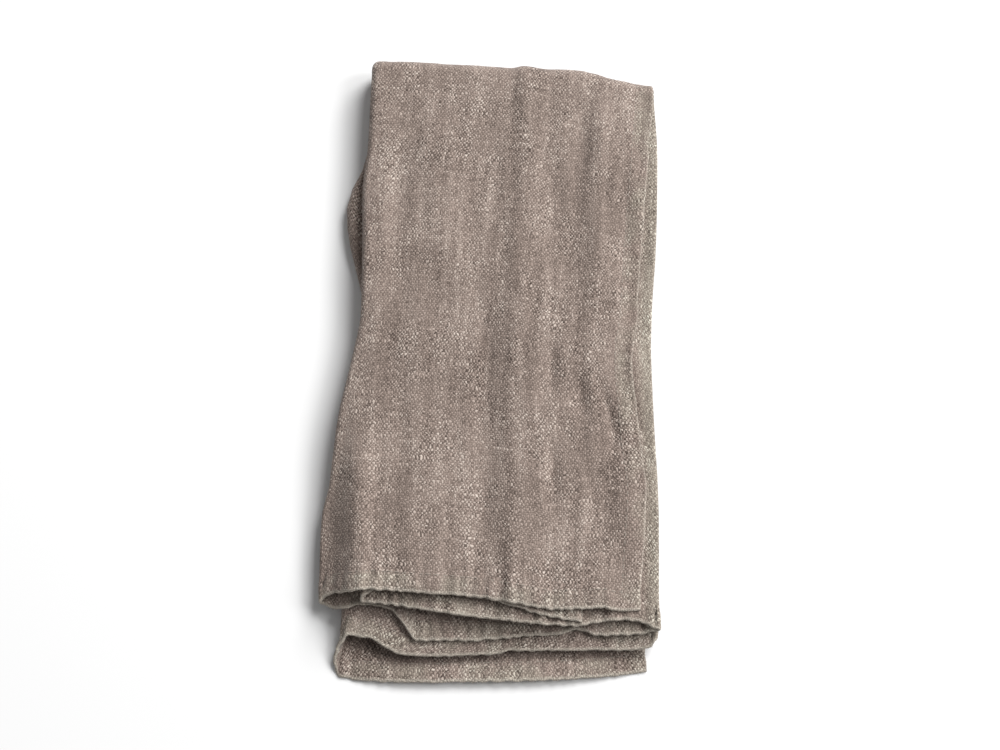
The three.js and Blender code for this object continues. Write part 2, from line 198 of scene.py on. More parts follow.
# %% Front edges of the upper half
FRONT_COLUMNS = ("x", "y", "lift", "depth")
UPPER_FRONTS = {
    "outer": curves_of(FRONT_COLUMNS, [
        (-61, -92.5, -0.5, 13),
        (-56.5, -90.2, 0.7, 13),
        (-50, -90.5, 1.3, 16),
        (-43, -90.0, 1.6, 22),
        (-26, -91.1, 1.2, 28),
        (-6, -92.6, 1.0, 28),
        (6.5, -94.8, 0.8, 26),
        (19.5, -96.6, 0.5, 20),
        (31, -96.3, 0.3, 16),
        (36, -95.9, 0.4, 13),
        (43, -96.8, 0.2, 13),
        (50, -96.2, -0.1, 13),
    ]),
    "third": curves_of(FRONT_COLUMNS, [
        (-46.5, -92.8, 0.9, 22),
        (-40, -89.0, 1.6, 24),
        (-26, -89.0, 1.6, 28),
        (-7, -91.8, 1.4, 28),
        (6.5, -95.6, 1.2, 26),
        (14, -97.7, 0.9, 20),
        (24, -99.8, 0.4, 16),
        (30, -100.5, 0.2, 13),
    ]),
    "second": curves_of(FRONT_COLUMNS, [
        (-46.5, -93.6, 1.0, 22),
        (-42, -93.9, 1.5, 24),
        (-33.5, -95.0, 2.0, 28),
        (-15.5, -97.8, 2.0, 28),
        (-2, -99.4, 1.8, 28),
        (12, -100.9, 1.3, 22),
        (27.5, -101.7, 0.5, 16),
        (36, -100.2, 0.4, 13),
        (43, -99.6, 0.8, 13),
        (49, -100, 0.6, 13),
        (56, -102.8, 0, 13),
    ]),
    "first": curves_of(FRONT_COLUMNS, [
        (-61, -93, 0, 13),
        (-54, -95.3, 0.1, 13),
        (-46.5, -94, 0.1, 13),
        (-37, -95.2, 0.1, 13),
        (-32, -100.6, 0, 13),
        (-27.5, -106, -1.2, 10),
        (-10, -106.1, -1.7, 12),
        (12, -104.4, -1.7, 12),
        (23, -103.8, -1.5, 12),
        (28, -102.4, -1.2, 12),
        (36, -104.3, -1.0, 10),
        (48, -104.2, -0.5, 10),
        (56, -102.8, 0, 13),
    ]),
}
print("front edges of the upper half:", list(UPPER_FRONTS))

# %% [markdown]
# The lower edges
# The lower half lies on the table and reaches further forward. Its lowest layer shows as one
# long strip that arches a little off the table in the middle. After the edges comes the
# crosswise fold at the far end, which slants back towards the right.

# %% Front edges of the lower half and the crosswise fold
LOWER_FRONTS = {
    "outer": curves_of(FRONT_COLUMNS, [
        (-57.5, -114, 0, 9),
        (-54.5, -116.4, 0, 9),
        (-51, -117.8, 0, 9),
        (-42, -119.2, 0.9, 9),
        (-26, -119.8, 1.8, 9),
        (12, -119.3, 1.9, 9),
        (34, -118.1, 1.0, 9),
        (47, -116.6, 0, 9),
        (56, -114.8, 0, 9),
    ]),
    "third": curves_of(FRONT_COLUMNS, [
        (-45, -103.5, -0.2, 10),
        (-24, -106.5, -0.7, 12),
        (30, -107, -0.7, 12),
    ]),
    "second": curves_of(FRONT_COLUMNS, [
        (-45, -103.5, -0.2, 10),
        (-24, -107, -1.2, 13),
        (40, -107, -1.2, 13),
        (55.5, -104.4, -0.2, 10),
    ]),
    "first": curves_of(FRONT_COLUMNS, [
        (-54, -104, 0.4, 13),
        (-45, -105.3, 0.3, 13),
        (-39.5, -108, -0.1, 13),
        (-31, -110.8, -1.1, 12),
        (-24, -111.1, -1.4, 13),
        (-2, -110.6, -1.7, 14),
        (5, -109.3, -1.6, 14),
        (46, -109.0, -1.4, 14),
        (52, -108.6, -0.9, 13),
        (56, -104.4, 0, 13),
    ]),
}
FOLD_LINE = curve_through(
    [-49, -33, -11, 2, 28, 37, 43, 52, 61],
    [113, 112.6, 111.2, 110.3, 109.4, 108.2, 106, 104.3, 103.3],
)
FOLD_STATION = float(FOLD_LINE(0))
print("crosswise fold at the middle, mm:", round(FOLD_STATION, 1))

# %% [markdown]
# Creases and random softness
# Linen that has been washed and folded keeps long soft creases. The main ones are listed one by
# one, each along a line between two points, with a width of its own on either side, since
# most creases are steep on one side and run out slowly on the other. A height below zero makes
# a trough. Between them the cloth is never quite flat, so smooth random fields with fixed seeds
# add low swells that are longer along Y than across.

# %% Creases listed one by one
RIDGE_COLUMNS = ("x0", "y0", "x1", "y1", "left", "right", "height")
RIDGE_FADE = 10.0
RIDGES = [dict(zip(RIDGE_COLUMNS, row)) for row in [
    (11, 118, 10, 60, 5, 5, 1.0),
    (10, 60, 6.5, 12, 5, 9, 1.3),
    (6.5, 12, 6, -100, 6, 15, 1.7),
    (-3, 16, -4, -80, 5, 5, -0.7),
    (-49, -40, -47.5, -100, 5, 5, 1.2),
    (-32, -64, -16, -90, 20, 20, 0.8),
    (-24, 110, -20, 30, 7, 7, 0.9),
    (-37, 80, -41, -20, 6, 6, -0.7),
    (33, 96, 31, 66, 4, 4, -1.0),
    (39, 100, 38, 20, 4, 4, 1.2),
    (29, 55, 28, 22, 4, 4, -0.8),
    (38.2, -17, 42.6, -35, 2.2, 1.6, -1.5),
    (42.2, -17, 46.2, -33, 2.2, 3.4, 0.7),
    (29.2, -13, 31.4, -27, 3.4, 3.4, -2.1),
    (20.4, -2, 20, -17, 2.8, 2.4, -1.7),
    (20, -40, 19.6, -56, 2.6, 2.4, -1.9),
    (45, -44, 45, -73, 5, 5, 1.2),
    (37, -46, 37, -72, 5, 5, -0.9),
    (19, -83, 20, -97, 2.4, 2.4, -1.0),
    (-62, -63, -56, -64, 2.4, 2.4, -0.5),
    (49.4, 1, 51, -17, 2.4, 3.0, 1.3),
    (53.5, 62, 51.5, 34, 2.4, 3.0, 1.0),
]]
SWELLS = [
    {"seed": 3, "across": 7.0, "along": 55.0, "height": 0.42},
    {"seed": 5, "across": 3.4, "along": 20.0, "height": 0.24},
    {"seed": 8, "across": 26.0, "along": 34.0, "height": 0.45},
]
print("creases placed by hand:", len(RIDGES))

# %% [markdown]
# Relief of the cloth
# A crease is a soft bell across its line and fades at both ends. A swell reads a small lattice
# of random numbers and blends smoothly between them, so the same seed always gives the same
# cloth. Cloth simulation could make creases too, but it wouldn't put them where the photo does.

# %% Relief at a place
LATTICE_SIZE = 97


def random_field(seed, x, y):
    lattice = np.random.default_rng(seed).uniform(-1, 1, (LATTICE_SIZE, LATTICE_SIZE))
    i, j = np.floor(x).astype(int), np.floor(y).astype(int)
    kx, ky = smoothstep(x - i), smoothstep(y - j)

    def corner(a, b):
        return lattice[(i + a) % LATTICE_SIZE, (j + b) % LATTICE_SIZE]

    low = mix(corner(0, 0), corner(1, 0), kx)
    return mix(low, mix(corner(0, 1), corner(1, 1), kx), ky)


def relief_at(x, y):
    total = np.zeros(np.broadcast(x, y).shape)
    for ridge in RIDGES:
        dx, dy = ridge["x1"] - ridge["x0"], ridge["y1"] - ridge["y0"]
        length = math.hypot(dx, dy)
        fade = min(RIDGE_FADE, length / 2)
        along = ((x - ridge["x0"]) * dx + (y - ridge["y0"]) * dy) / length
        away = ((x - ridge["x0"]) * dy - (y - ridge["y0"]) * dx) / length
        rising = smoothstep((along + fade) / (2 * fade))
        falling = smoothstep((length + fade - along) / (2 * fade))
        width = np.where(away > 0, ridge["left"], ridge["right"])
        total = total + ridge["height"] * (rising * falling) * np.exp(-(away / width) ** 2)
    for swell in SWELLS:
        field = random_field(swell["seed"], x / swell["across"], y / swell["along"])
        total = total + swell["height"] * field
    return total


print("relief in the middle, mm:", float(relief_at(0.0, 0.0).round(2)))

# %% [markdown]
# The section across the layers
# Each half of the path gives, for a place along the section, its x and its height from the
# middle of the stack. A flat layer has its own height, less what its flank and its free margin
# hang down, plus the creases. The top layer shows the creases in full, and each layer below it
# takes a smaller share. The lower half lies on the table and takes none.

# %% Height of a layer
UPPER = {"side": 1, "sections": UPPER_SECTIONS, "fronts": UPPER_FRONTS, "guess": -95.0}
LOWER = {"side": -1, "sections": LOWER_SECTIONS, "fronts": LOWER_FRONTS, "guess": -110.0}

MARGIN_DROP = 1.6
UNDER_DROP_START = 0.25
LIFT_FADE = 2
LEAST_RELIEF = 0.25
FLANK_SHAPE = curve_through([-1, 0, 0.2, 0.85, 1, 2], [0, 0, 0.13, 0.93, 1, 1])


def relief_share(layer):
    lowest, highest = LAYER_HEIGHT["first"], LAYER_HEIGHT["outer"]
    return mix(LEAST_RELIEF, 1.0, (LAYER_HEIGHT[layer] - lowest) / (highest - lowest))


def layer_height(half, layer, x, y):
    sections, side = half["sections"], half["side"]
    outer_fold, inner_fold = sections["outer_left"](y), sections["inner_left"](y)
    flank_share = (inner_fold - x) / (inner_fold - outer_fold)
    drop = 0
    if layer == "first":
        under_share = (flank_share - UNDER_DROP_START) / (1 - UNDER_DROP_START)
        drop = sections["under_drop"](y) * smoothstep(under_share)
    if layer == "outer":
        third_hem, outer_hem = sections["third_hem"](y), sections["outer_hem"](y)
        margin = smoothstep((x - third_hem) / (outer_hem - third_hem))
        drop = sections["flank_drop"](y) * FLANK_SHAPE(flank_share)
        drop = drop + (MARGIN_DROP * margin if side > 0 else 0)
    front = half["fronts"][layer]
    behind = np.maximum(0, y - front["y"](x))
    lift = front["lift"](x) * np.exp(-LIFT_FADE * (behind / front["depth"](x)) ** 2)
    relief = relief_at(x, y) * relief_share(layer) if side > 0 else 0
    return LAYER_HEIGHT[layer] * sections["loft"](y) - drop + relief + lift * side


middle_height = float(layer_height(UPPER, "outer", 0.0, 0.0))
print("top layer above the middle of the stack, mm:", round(middle_height, 2))

# %% [markdown]
# The whole section
# A flat layer runs between the centres of its two folds, and a fold is a half circle between
# two layers, so the whole section is one unbroken line of cloth. That matters, because the
# napkin is one piece: separate sheets laid on each other would show cut edges at the folds.

# %% Section of the folded layers
FOLDS = {
    "outer_left": {"layers": ("outer", "first"), "opens": 1, "steps": 12},
    "right": {"layers": ("first", "second"), "opens": -1, "steps": 8},
    "inner_left": {"layers": ("second", "third"), "opens": 1, "steps": 6},
}
LAYERS = {
    "outer": {"from": "outer_hem", "to": "outer_left", "steps": 88},
    "first": {"from": "outer_left", "to": "right", "steps": 96},
    "second": {"from": "right", "to": "inner_left", "steps": 84},
    "third": {"from": "inner_left", "to": "third_hem", "steps": 36},
}


def fold_at(half, name, y):
    x = half["sections"][name](y)
    one, other = FOLDS[name]["layers"]
    radius = abs(layer_height(half, one, x, y) - layer_height(half, other, x, y)) / 2
    return radius, x + FOLDS[name]["opens"] * radius


def section_point(half, column, y):
    if "layer" in column:
        ends = []
        for name in (LAYERS[column["layer"]]["from"], LAYERS[column["layer"]]["to"]):
            free = name in ("outer_hem", "third_hem")
            inset = -column["from_hem"] if free else 0
            ends.append(half["sections"][name](y) + inset if free else fold_at(half, name, y)[1])
        x = mix(ends[0], ends[1], column["along"])
        return x, layer_height(half, column["layer"], x, y)
    radius, centre = fold_at(half, column["fold"], y)
    start, end = [layer_height(half, layer, centre, y) for layer in FOLDS[column["fold"]]["layers"]]
    angle = math.pi * column["along"]
    x = centre - FOLDS[column["fold"]]["opens"] * radius * math.sin(angle)
    return x, (start + end) / 2 + (start - end) / 2 * math.cos(angle)


def front_of(half, column):
    x = section_point(half, column, half["guess"])[0]
    if "layer" in column:
        return float(half["fronts"][column["layer"]]["y"](x))
    start, end = [half["fronts"][layer]["y"](x) for layer in FOLDS[column["fold"]]["layers"]]
    return float(mix(start, end, smoothstep(column["along"])))


right_radius, right_centre = fold_at(UPPER, "right", 0.0)
print("right fold, mm: radius", round(float(right_radius), 2), "centre", round(float(right_centre), 1))

# %% [markdown]
# Columns and rows
# The mesh is a grid: a column for each place across the section and a row for each place
# along the path. Both are close together at the hems, where the cloth has its finest shape,
# and further apart where it runs flat.

# %% Columns and rows of the grid
HEM_WIDTH = 6.6
HEM_STEPS = (0, 0.12, 0.35, 0.7, 1.5, 2.8, 4.2, 5.4, HEM_WIDTH, 7.6, 9.0)
FRONT_STEPS = (
    0, 0.12, 0.35, 0.7, 1.5, 2.7, 4.0, 5.3, HEM_WIDTH, 7.6, 9.0, 11.0, 13.5, 16.5, 20.0,
)
UPPER_ROWS = 46
LOWER_ROWS = 26
FOLD_ROWS = 14


def section_columns():
    columns = []
    for layer, lane in LAYERS.items():
        from_hem, to_hem = layer == "outer", layer == "third"
        if from_hem:
            columns += [{"layer": layer, "along": 0.0, "from_hem": d} for d in HEM_STEPS[:-1]]
        last = lane["steps"] - (1 if to_hem else 0)
        for i in range(last + 1):
            inset = HEM_STEPS[-1] if from_hem or to_hem else 0
            columns.append({"layer": layer, "along": i / lane["steps"], "from_hem": inset})
        if to_hem:
            columns += [{"layer": layer, "along": 1.0, "from_hem": d} for d in HEM_STEPS[::-1]]
            break
        steps = FOLDS[lane["to"]]["steps"]
        columns += [{"fold": lane["to"], "along": i / steps} for i in range(1, steps)]
    return columns


def path_rows(half, count):
    rows = [{"half": half, "behind": d, "share": 0.0} for d in FRONT_STEPS]
    far = [{"half": half, "behind": FRONT_STEPS[-1], "share": i / count} for i in range(1, count + 1)]
    return rows + far


COLUMNS = section_columns()
UPPER_RUN = path_rows(UPPER, UPPER_ROWS)
LOWER_RUN = path_rows(LOWER, LOWER_ROWS)[::-1]
TURNS = np.arange(1, FOLD_ROWS) / FOLD_ROWS
ROW_COUNT = len(UPPER_RUN) + len(TURNS) + len(LOWER_RUN)
print("grid:", len(COLUMNS), "columns by", ROW_COUNT, "rows")

# %% [markdown]
# The centre of the cloth
# Every column is worked out for all rows of a half at once. A point's y runs from the front
# edge to the crosswise fold, and there the path turns half round, with the outer layers on
# the outside of the bend.

# %% Centre surface
def run_points(half, rows, column):
    behind = np.array([row["behind"] for row in rows])
    share = np.array([row["share"] for row in rows])
    start = front_of(half, column) + behind
    x = section_point(half, column, mix(start, FOLD_STATION, share))[0]
    y = mix(start, FOLD_LINE(x), share)
    x, height = section_point(half, column, y)
    return np.stack([x, y, STACK_MIDDLE + half["side"] * height], axis=1)


def fold_points(column):
    upper_x, upper_height = section_point(UPPER, column, FOLD_STATION)
    lower_x, lower_height = section_point(LOWER, column, FOLD_STATION)
    x = mix(upper_x, lower_x, TURNS)
    height = mix(upper_height, lower_height, smoothstep(TURNS))
    angle = math.pi * TURNS
    y = FOLD_LINE(x) + height * np.sin(angle)
    return np.stack([x, y, STACK_MIDDLE + height * np.cos(angle)], axis=1)


def column_points(column):
    upper = run_points(UPPER, UPPER_RUN, column)
    lower = run_points(LOWER, LOWER_RUN, column)
    return np.concatenate([upper, fold_points(column), lower])


centre = np.stack([column_points(column) for column in COLUMNS], axis=1)
flat_list = centre.reshape(-1, 3)
print("centre surface, mm:", flat_list.min(0).round(1), "to", flat_list.max(0).round(1))

# %% [markdown]
# Thread lengths
# The weave has to follow the cloth, not the table. So each point gets its distance along the
# threads: across from the outer layer's side hem, and along the path from the upper front
# edge. These lengths are smoothed a little, so that a small crease doesn't bend the weave, and
# in centimetres they become the piece's UV map.

# %% Thread lengths and distances to the edges
step_across = np.linalg.norm(np.diff(centre, axis=1), axis=2)
step_along = np.linalg.norm(np.diff(centre, axis=0), axis=2)
across = np.concatenate([np.zeros((ROW_COUNT, 1)), np.cumsum(step_across, axis=1)], axis=1)
along = np.concatenate([np.zeros((1, len(COLUMNS))), np.cumsum(step_along, axis=0)], axis=0)


def smooth_along_axis(values, axis, reach):
    steps = np.arange(-3 * reach, 3 * reach + 1)
    weights = np.exp(-0.5 * (steps / reach) ** 2)
    padded = np.pad(values, [(3 * reach,) * 2 if i == axis else (0, 0) for i in (0, 1)], "edge")
    count = values.shape[axis]
    parts = [w * np.take(padded, np.arange(count) + k, axis) for k, w in enumerate(weights)]
    return sum(parts) / weights.sum()


ROWS_SMOOTHED = 9
COLUMNS_SMOOTHED = 6
thread_u = smooth_along_axis(across, axis=0, reach=ROWS_SMOOTHED)
thread_v = smooth_along_axis(along, axis=1, reach=COLUMNS_SMOOTHED)
to_front = np.minimum(along, along[-1:] - along)
to_side = np.minimum(across, across[:, -1:] - across)
to_edge = np.minimum(to_front, to_side)
print("cloth, mm: width", across[:, -1].mean().round(1), "length", along[-1].mean().round(1))

# %% [markdown]
# Rubbed folds
# A fold that always lies at the same place is rubbed in use and in the wash, and grows paler.
# On this napkin that is the fold on the right. A number from 0 to 1 says how rubbed each point
# is, and the material reads it.

# %% Wear on the right fold
WEAR_REACH = 5.5
WEAR_START = 0.4
right_fold = [i for i, column in enumerate(COLUMNS) if column.get("fold") == "right"]
fold_middle = across[:, right_fold[len(right_fold) // 2]][:, None]
fold_wear = 1 - smoothstep(np.abs(across - fold_middle) / WEAR_REACH - WEAR_START)
print("share of the cloth that is rubbed:", fold_wear.mean().round(3))

# %% [markdown]
# Puckered hems
# A hem is cloth turned under twice and stitched. The thread draws it in, so small puckers
# stand up along the stitching and fade into the cloth. Their spacing and depth change along
# the edge. On the front of each layer they have a depth of their own, and where the cloth lies
# on the table they are half as deep.

# %% Puckers along the hems
PUCKER_SPACING = 4.6
PUCKER_FADE = 4.0
FRONT_PUCKERS = {"outer": 0.8, "third": 0.5, "second": 0.8, "first": 0.5}
SIDE_PUCKERS = 0.22
FRONT_SEED = 21
SIDE_SEED = 33
TABLE_PRESS = 0.5
JOIN_COLUMNS = 4


def pucker_wave(seed, place):
    phase = place / PUCKER_SPACING + 0.9 * random_field(seed, place / 11.0, place * 0)
    depth = 0.55 + 0.6 * random_field(seed + 1, place / 9.0, place * 0 + 0.5)
    return depth * np.sin(2 * math.pi * phase)


def pucker_envelope(distance):
    outside = smoothstep(distance / HEM_WIDTH)
    inside = np.exp(-np.maximum(0, distance - HEM_WIDTH) / PUCKER_FADE)
    return (0.75 + 0.25 * outside) * inside


def surface_normals(points):
    d_row = np.gradient(points, axis=0)
    d_column = np.gradient(points, axis=1)
    normal = np.cross(d_row, d_column)
    return normal / np.maximum(np.linalg.norm(normal, axis=2, keepdims=True), 1e-9)


def by_layer(depths):
    values = np.array([depths[column.get("layer", "outer")] for column in COLUMNS])
    window = 2 * JOIN_COLUMNS + 1
    padded = np.pad(values, JOIN_COLUMNS, "edge")
    return np.convolve(padded, np.full(window, 1 / window), "valid")


front_puckers = pucker_wave(FRONT_SEED, across) * by_layer(FRONT_PUCKERS) * pucker_envelope(to_front)
side_puckers = pucker_wave(SIDE_SEED, along) * pucker_envelope(to_side) * SIDE_PUCKERS
is_outer = np.array([column.get("layer") == "outer" for column in COLUMNS])
is_lower = np.arange(ROW_COUNT) >= ROW_COUNT - len(LOWER_RUN)
on_table = is_lower[:, None] & is_outer[None, :]
puckers = (front_puckers + side_puckers) * np.where(on_table, TABLE_PRESS, 1.0)
centre = centre - surface_normals(centre) * puckers[..., None]
print("puckers, mm:", puckers.min().round(2), "to", puckers.max().round(2))

# %% [markdown]
# Uneven edges
# Between two puckers the front edge is drawn back a little, so it runs in small scallops. The
# side hems wander too, more slowly. Both die away behind the edge.

# %% Scallops and wandering side hems
SCALLOP_DEPTH = 0.32
SCALLOP_REACH = 4.5
SCALLOP_SHIFT = 1.0
SIDE_WANDER = 0.45
WANDER_REACH = 6.0
EDGE_SEEDS = {"scallop": 57, "long_wander": 71, "short_wander": 72}

small_scallops = random_field(EDGE_SEEDS["scallop"], across / 2.6, to_front * 0)
scallops = pucker_wave(FRONT_SEED, across + SCALLOP_SHIFT) + 0.45 * small_scallops
centre[..., 1] += SCALLOP_DEPTH * scallops * np.exp(-(to_front / SCALLOP_REACH) ** 2)
long_wander = random_field(EDGE_SEEDS["long_wander"], along / 9.0, to_side * 0)
short_wander = random_field(EDGE_SEEDS["short_wander"], along / 3.1, to_side * 0)
wander = long_wander + 0.5 * short_wander
centre[..., 0] += SIDE_WANDER * wander * np.exp(-(to_side / WANDER_REACH) ** 2)
print("side hems wander by up to", (SIDE_WANDER * np.abs(wander)).max().round(2), "mm")

# %% [markdown]
# Thickness
# A hem is thicker than the cloth, the row of stitches draws it in, and its folded edge is
# round. So the thickness is worked out from each point's distance to the nearest edge.

# %% Thickness of cloth and hems
HEM_STEP = 1.2
STITCH_DIP = 0.16
STITCH_REACH = 0.7
EDGE_ROUNDING = 0.7
LEAST_ROUNDING = 0.04

hem_share = 1 - smoothstep((to_edge - HEM_WIDTH) / HEM_STEP + 0.5)
thickness = mix(CLOTH_THICKNESS, HEM_THICKNESS, hem_share)
thickness = thickness - STITCH_DIP * np.exp(-((to_edge - HEM_WIDTH) / STITCH_REACH) ** 2)
rounding = np.clip(1 - to_edge / EDGE_ROUNDING, 0, 1)
thickness = thickness * np.sqrt(np.maximum(LEAST_ROUNDING, 1 - rounding ** 2))
print("thickness, mm:", thickness.min().round(2), "to", thickness.max().round(2))

# %% [markdown]
# From surface to mesh
# The centre surface becomes a closed mesh: two skins half a thickness to either side, and a
# narrow wall round the edges. What lies within a hair of the table is laid flat on it, and the
# whole is set over the middle of the model's box. A Solidify modifier would also give the
# thickness, but not one that grows at the hems. The order of a face's corners says which way it
# looks, and all look outward.

# %% Points and faces of the cloth
FLAT_BELOW = 0.06


def skin_points():
    normal = surface_normals(centre)
    skins = [centre - side * normal * thickness[..., None] / 2 for side in (1, -1)]
    points = np.concatenate([skin.reshape(-1, 3) for skin in skins])
    points[:, 2] = np.where(points[:, 2] < FLAT_BELOW, 0, points[:, 2])
    middle = (points.min(0) + points.max(0)) / 2
    cad_middle = (np.array(CAD_BOX[0]) + np.array(CAD_BOX[1])) / 2 / MM
    points[:, :2] += (cad_middle - middle)[:2]
    return points


def quads(a, b, c, d):
    return np.stack([a, b, c, d], axis=-1).reshape(-1, 4)


def skin_faces():
    width, depth = len(COLUMNS), ROW_COUNT
    top = np.arange(depth * width).reshape(depth, width)
    bottom = top + depth * width
    faces = [
        quads(top[:-1, :-1], top[1:, :-1], top[1:, 1:], top[:-1, 1:]),
        quads(bottom[:-1, :-1], bottom[:-1, 1:], bottom[1:, 1:], bottom[1:, :-1]),
        quads(top[0, :-1], top[0, 1:], bottom[0, 1:], bottom[0, :-1]),
        quads(top[-1, :-1], bottom[-1, :-1], bottom[-1, 1:], top[-1, 1:]),
        quads(top[:-1, 0], bottom[:-1, 0], bottom[1:, 0], top[1:, 0]),
        quads(top[:-1, -1], top[1:, -1], bottom[1:, -1], bottom[:-1, -1]),
    ]
    return np.concatenate(faces)[:, ::-1]


cloth_points = skin_points()
print("points of the cloth:", len(cloth_points))

# %% [markdown]
# The cloth as an object
# The UV map holds the thread lengths, and three point attributes hold the distance to the
# nearest edge, the distance to the front and the wear. Smooth shading hides the grid.

# %% Build the cloth mesh
def make_mesh(name, points_mm, faces):
    mesh = bpy.data.meshes.new(name)
    mesh.from_pydata((points_mm * MM).tolist(), [], faces.tolist())
    mesh.update()
    piece = bpy.data.objects.new(name, mesh)
    bpy.context.scene.collection.objects.link(piece)
    return piece


def store_on_points(piece, name, values):
    attribute = piece.data.attributes.new(name, "FLOAT", "POINT")
    attribute.data.foreach_set("value", np.tile(values.ravel(), 2).astype(np.float32))


napkin = make_mesh("napkin", cloth_points, skin_faces())
napkin.data.polygons.foreach_set("use_smooth", [True] * len(napkin.data.polygons))

MM_PER_CM = 10
corner_vertex = np.zeros(len(napkin.data.loops), np.int32)
napkin.data.loops.foreach_get("vertex_index", corner_vertex)
uv_of_point = np.stack([thread_u.ravel(), thread_v.ravel()], axis=1) / MM_PER_CM
uv_of_point = np.concatenate([uv_of_point, uv_of_point])
threads = napkin.data.uv_layers.new(name="threads")
threads.data.foreach_set("uv", uv_of_point[corner_vertex].astype(np.float32).ravel())
store_on_points(napkin, "edge_distance", to_edge)
store_on_points(napkin, "front_distance", to_front)
store_on_points(napkin, "wear", fold_wear)
print("napkin:", len(napkin.data.polygons) * 2, "triangles")

# %% [markdown]
# Linen as a material
# The cloth's finish is a node tree worked out from thread lengths. A picture of linen would be
# quicker to lay on, but it would blur close by and repeat. A few helpers keep the tree
# readable: each puts one kind of node, feeds it with numbers or with other nodes' results, and
# gives back what comes out. Shares add up parts that each swing round a middle of one half.

# %% Node helpers
class Nodes:
    def __init__(self, tree):
        self.tree = tree

    def put(self, kind, **settings):
        made = self.tree.nodes.new(kind)
        for name, value in settings.items():
            setattr(made, name, value)
        return made

    def feed(self, socket, value):
        if isinstance(value, bpy.types.NodeSocket):
            self.tree.links.new(value, socket)
        else:
            socket.default_value = value

    def math(self, operation, *values):
        made = self.put("ShaderNodeMath", operation=operation)
        for socket, value in zip(made.inputs, values):
            self.feed(socket, value)
        return made.outputs[0]

    def vector(self, x, y):
        made = self.put("ShaderNodeCombineXYZ")
        self.feed(made.inputs[0], x)
        self.feed(made.inputs[1], y)
        return made.outputs[0]

    def noise(self, x, y, detail=1.0):
        made = self.put("ShaderNodeTexNoise", noise_dimensions="2D")
        self.feed(made.inputs["Vector"], self.vector(x, y))
        made.inputs["Scale"].default_value = 1.0
        made.inputs["Detail"].default_value = detail
        return made.outputs["Fac"]

    def spread(self, value, low, high, to_low=0.0, to_high=1.0):
        made = self.put("ShaderNodeMapRange")
        for name, given in (("Value", value), ("From Min", low), ("From Max", high),
                            ("To Min", to_low), ("To Max", to_high)):
            self.feed(made.inputs[name], given)
        return made.outputs[0]

    def colour_mix(self, factor, a, b, blend="MIX"):
        made = self.put("ShaderNodeMix", data_type="RGBA", blend_type=blend)
        self.feed(made.inputs["Factor"], factor)
        for socket, given in zip([s for s in made.inputs if s.type == "RGBA"], (a, b)):
            self.feed(socket, given)
        return [s for s in made.outputs if s.type == "RGBA"][0]

    def grey(self, value):
        made = self.put("ShaderNodeCombineColor")
        for socket in made.inputs:
            self.feed(socket, value)
        return made.outputs[0]

    def blend(self, share, a, b):
        return self.math("MULTIPLY_ADD", self.math("SUBTRACT", b, a), share, a)

    def add_shares(self, start, parts):
        total = start
        for part, share in parts:
            total = self.math("MULTIPLY_ADD", self.math("SUBTRACT", part, 0.5), share, total)
        return total


print("node helpers:", [name for name in vars(Nodes) if not name.startswith("_")])

# %% [markdown]
# Plain weave
# Plain weave is one thread over and one under. Warp threads run along the path and weft
# threads across it, and at each crossing one of the two is on top. The tree counts threads
# along the UV map. Linen is never even, so the count drifts from place to place. The whole
# part of a count is the thread's number, and the rest is the place across its width.

# %% Count the threads
WARP_PER_CM = 15.0
WEFT_PER_CM = 11.5
DRIFT = 2.8
JITTER = 0.95


class Weave:
    def __init__(self, n):
        self.n = n
        uv = n.put("ShaderNodeUVMap", uv_map="threads")
        split = n.put("ShaderNodeSeparateXYZ")
        n.feed(split.inputs[0], uv.outputs[0])
        self.u, self.v = split.outputs[0], split.outputs[1]
        long_drifts = self.noise_at(3.0, 2.0, detail=3.0), self.noise_at(1.7, 3.4, detail=3.0)
        drift_u, drift_v = [n.math("MULTIPLY", drift, DRIFT) for drift in long_drifts]
        drift_u = n.math("MULTIPLY_ADD", self.noise_at(10.0, 8.0, v_shift=30.0), JITTER, drift_u)
        drift_v = n.math("MULTIPLY_ADD", self.noise_at(10.0, 8.0, u_shift=30.0), JITTER, drift_v)
        self.p = n.math("MULTIPLY_ADD", self.u, WARP_PER_CM, drift_u)
        self.q = n.math("MULTIPLY_ADD", self.v, WEFT_PER_CM, drift_v)
        self.i, self.j = n.math("FLOOR", self.p), n.math("FLOOR", self.q)

    def noise_at(self, u_scale, v_scale, u_shift=0.0, v_shift=0.0, detail=1.0):
        u = self.n.math("MULTIPLY_ADD", self.u, u_scale, u_shift)
        v = self.n.math("MULTIPLY_ADD", self.v, v_scale, v_shift)
        return self.n.noise(u, v, detail)


print("linen:", WARP_PER_CM, "by", WEFT_PER_CM, "threads a centimetre")

# %% [markdown]
# Thread heights
# Each thread is round across its width and rises and dips as it goes over and under. A slub is
# a stretch where a thread is thick and pale. Whichever thread is higher is on top, and its
# height later darkens the colour of the gaps as painted shade and drives the bump.

# %% Height of the threads
ROUND_SHARE = 0.48
OVER_SHARE = 0.52
WARP_SLUB = {"from": 0.68, "to": 0.82, "height": 0.25}
WEFT_SLUB = {"from": 0.70, "to": 0.84, "height": 0.20}
SLUB_STEP = 3.1


def half_wave(n, place):
    return n.math("SINE", n.math("MULTIPLY", place, math.pi))


def thread_height(n, count, rising, slub, slub_height):
    rounded = half_wave(n, n.math("FRACT", count))
    height = n.math("MULTIPLY_ADD", rounded, ROUND_SHARE, rising)
    return n.math("MULTIPLY_ADD", slub, slub_height, height)


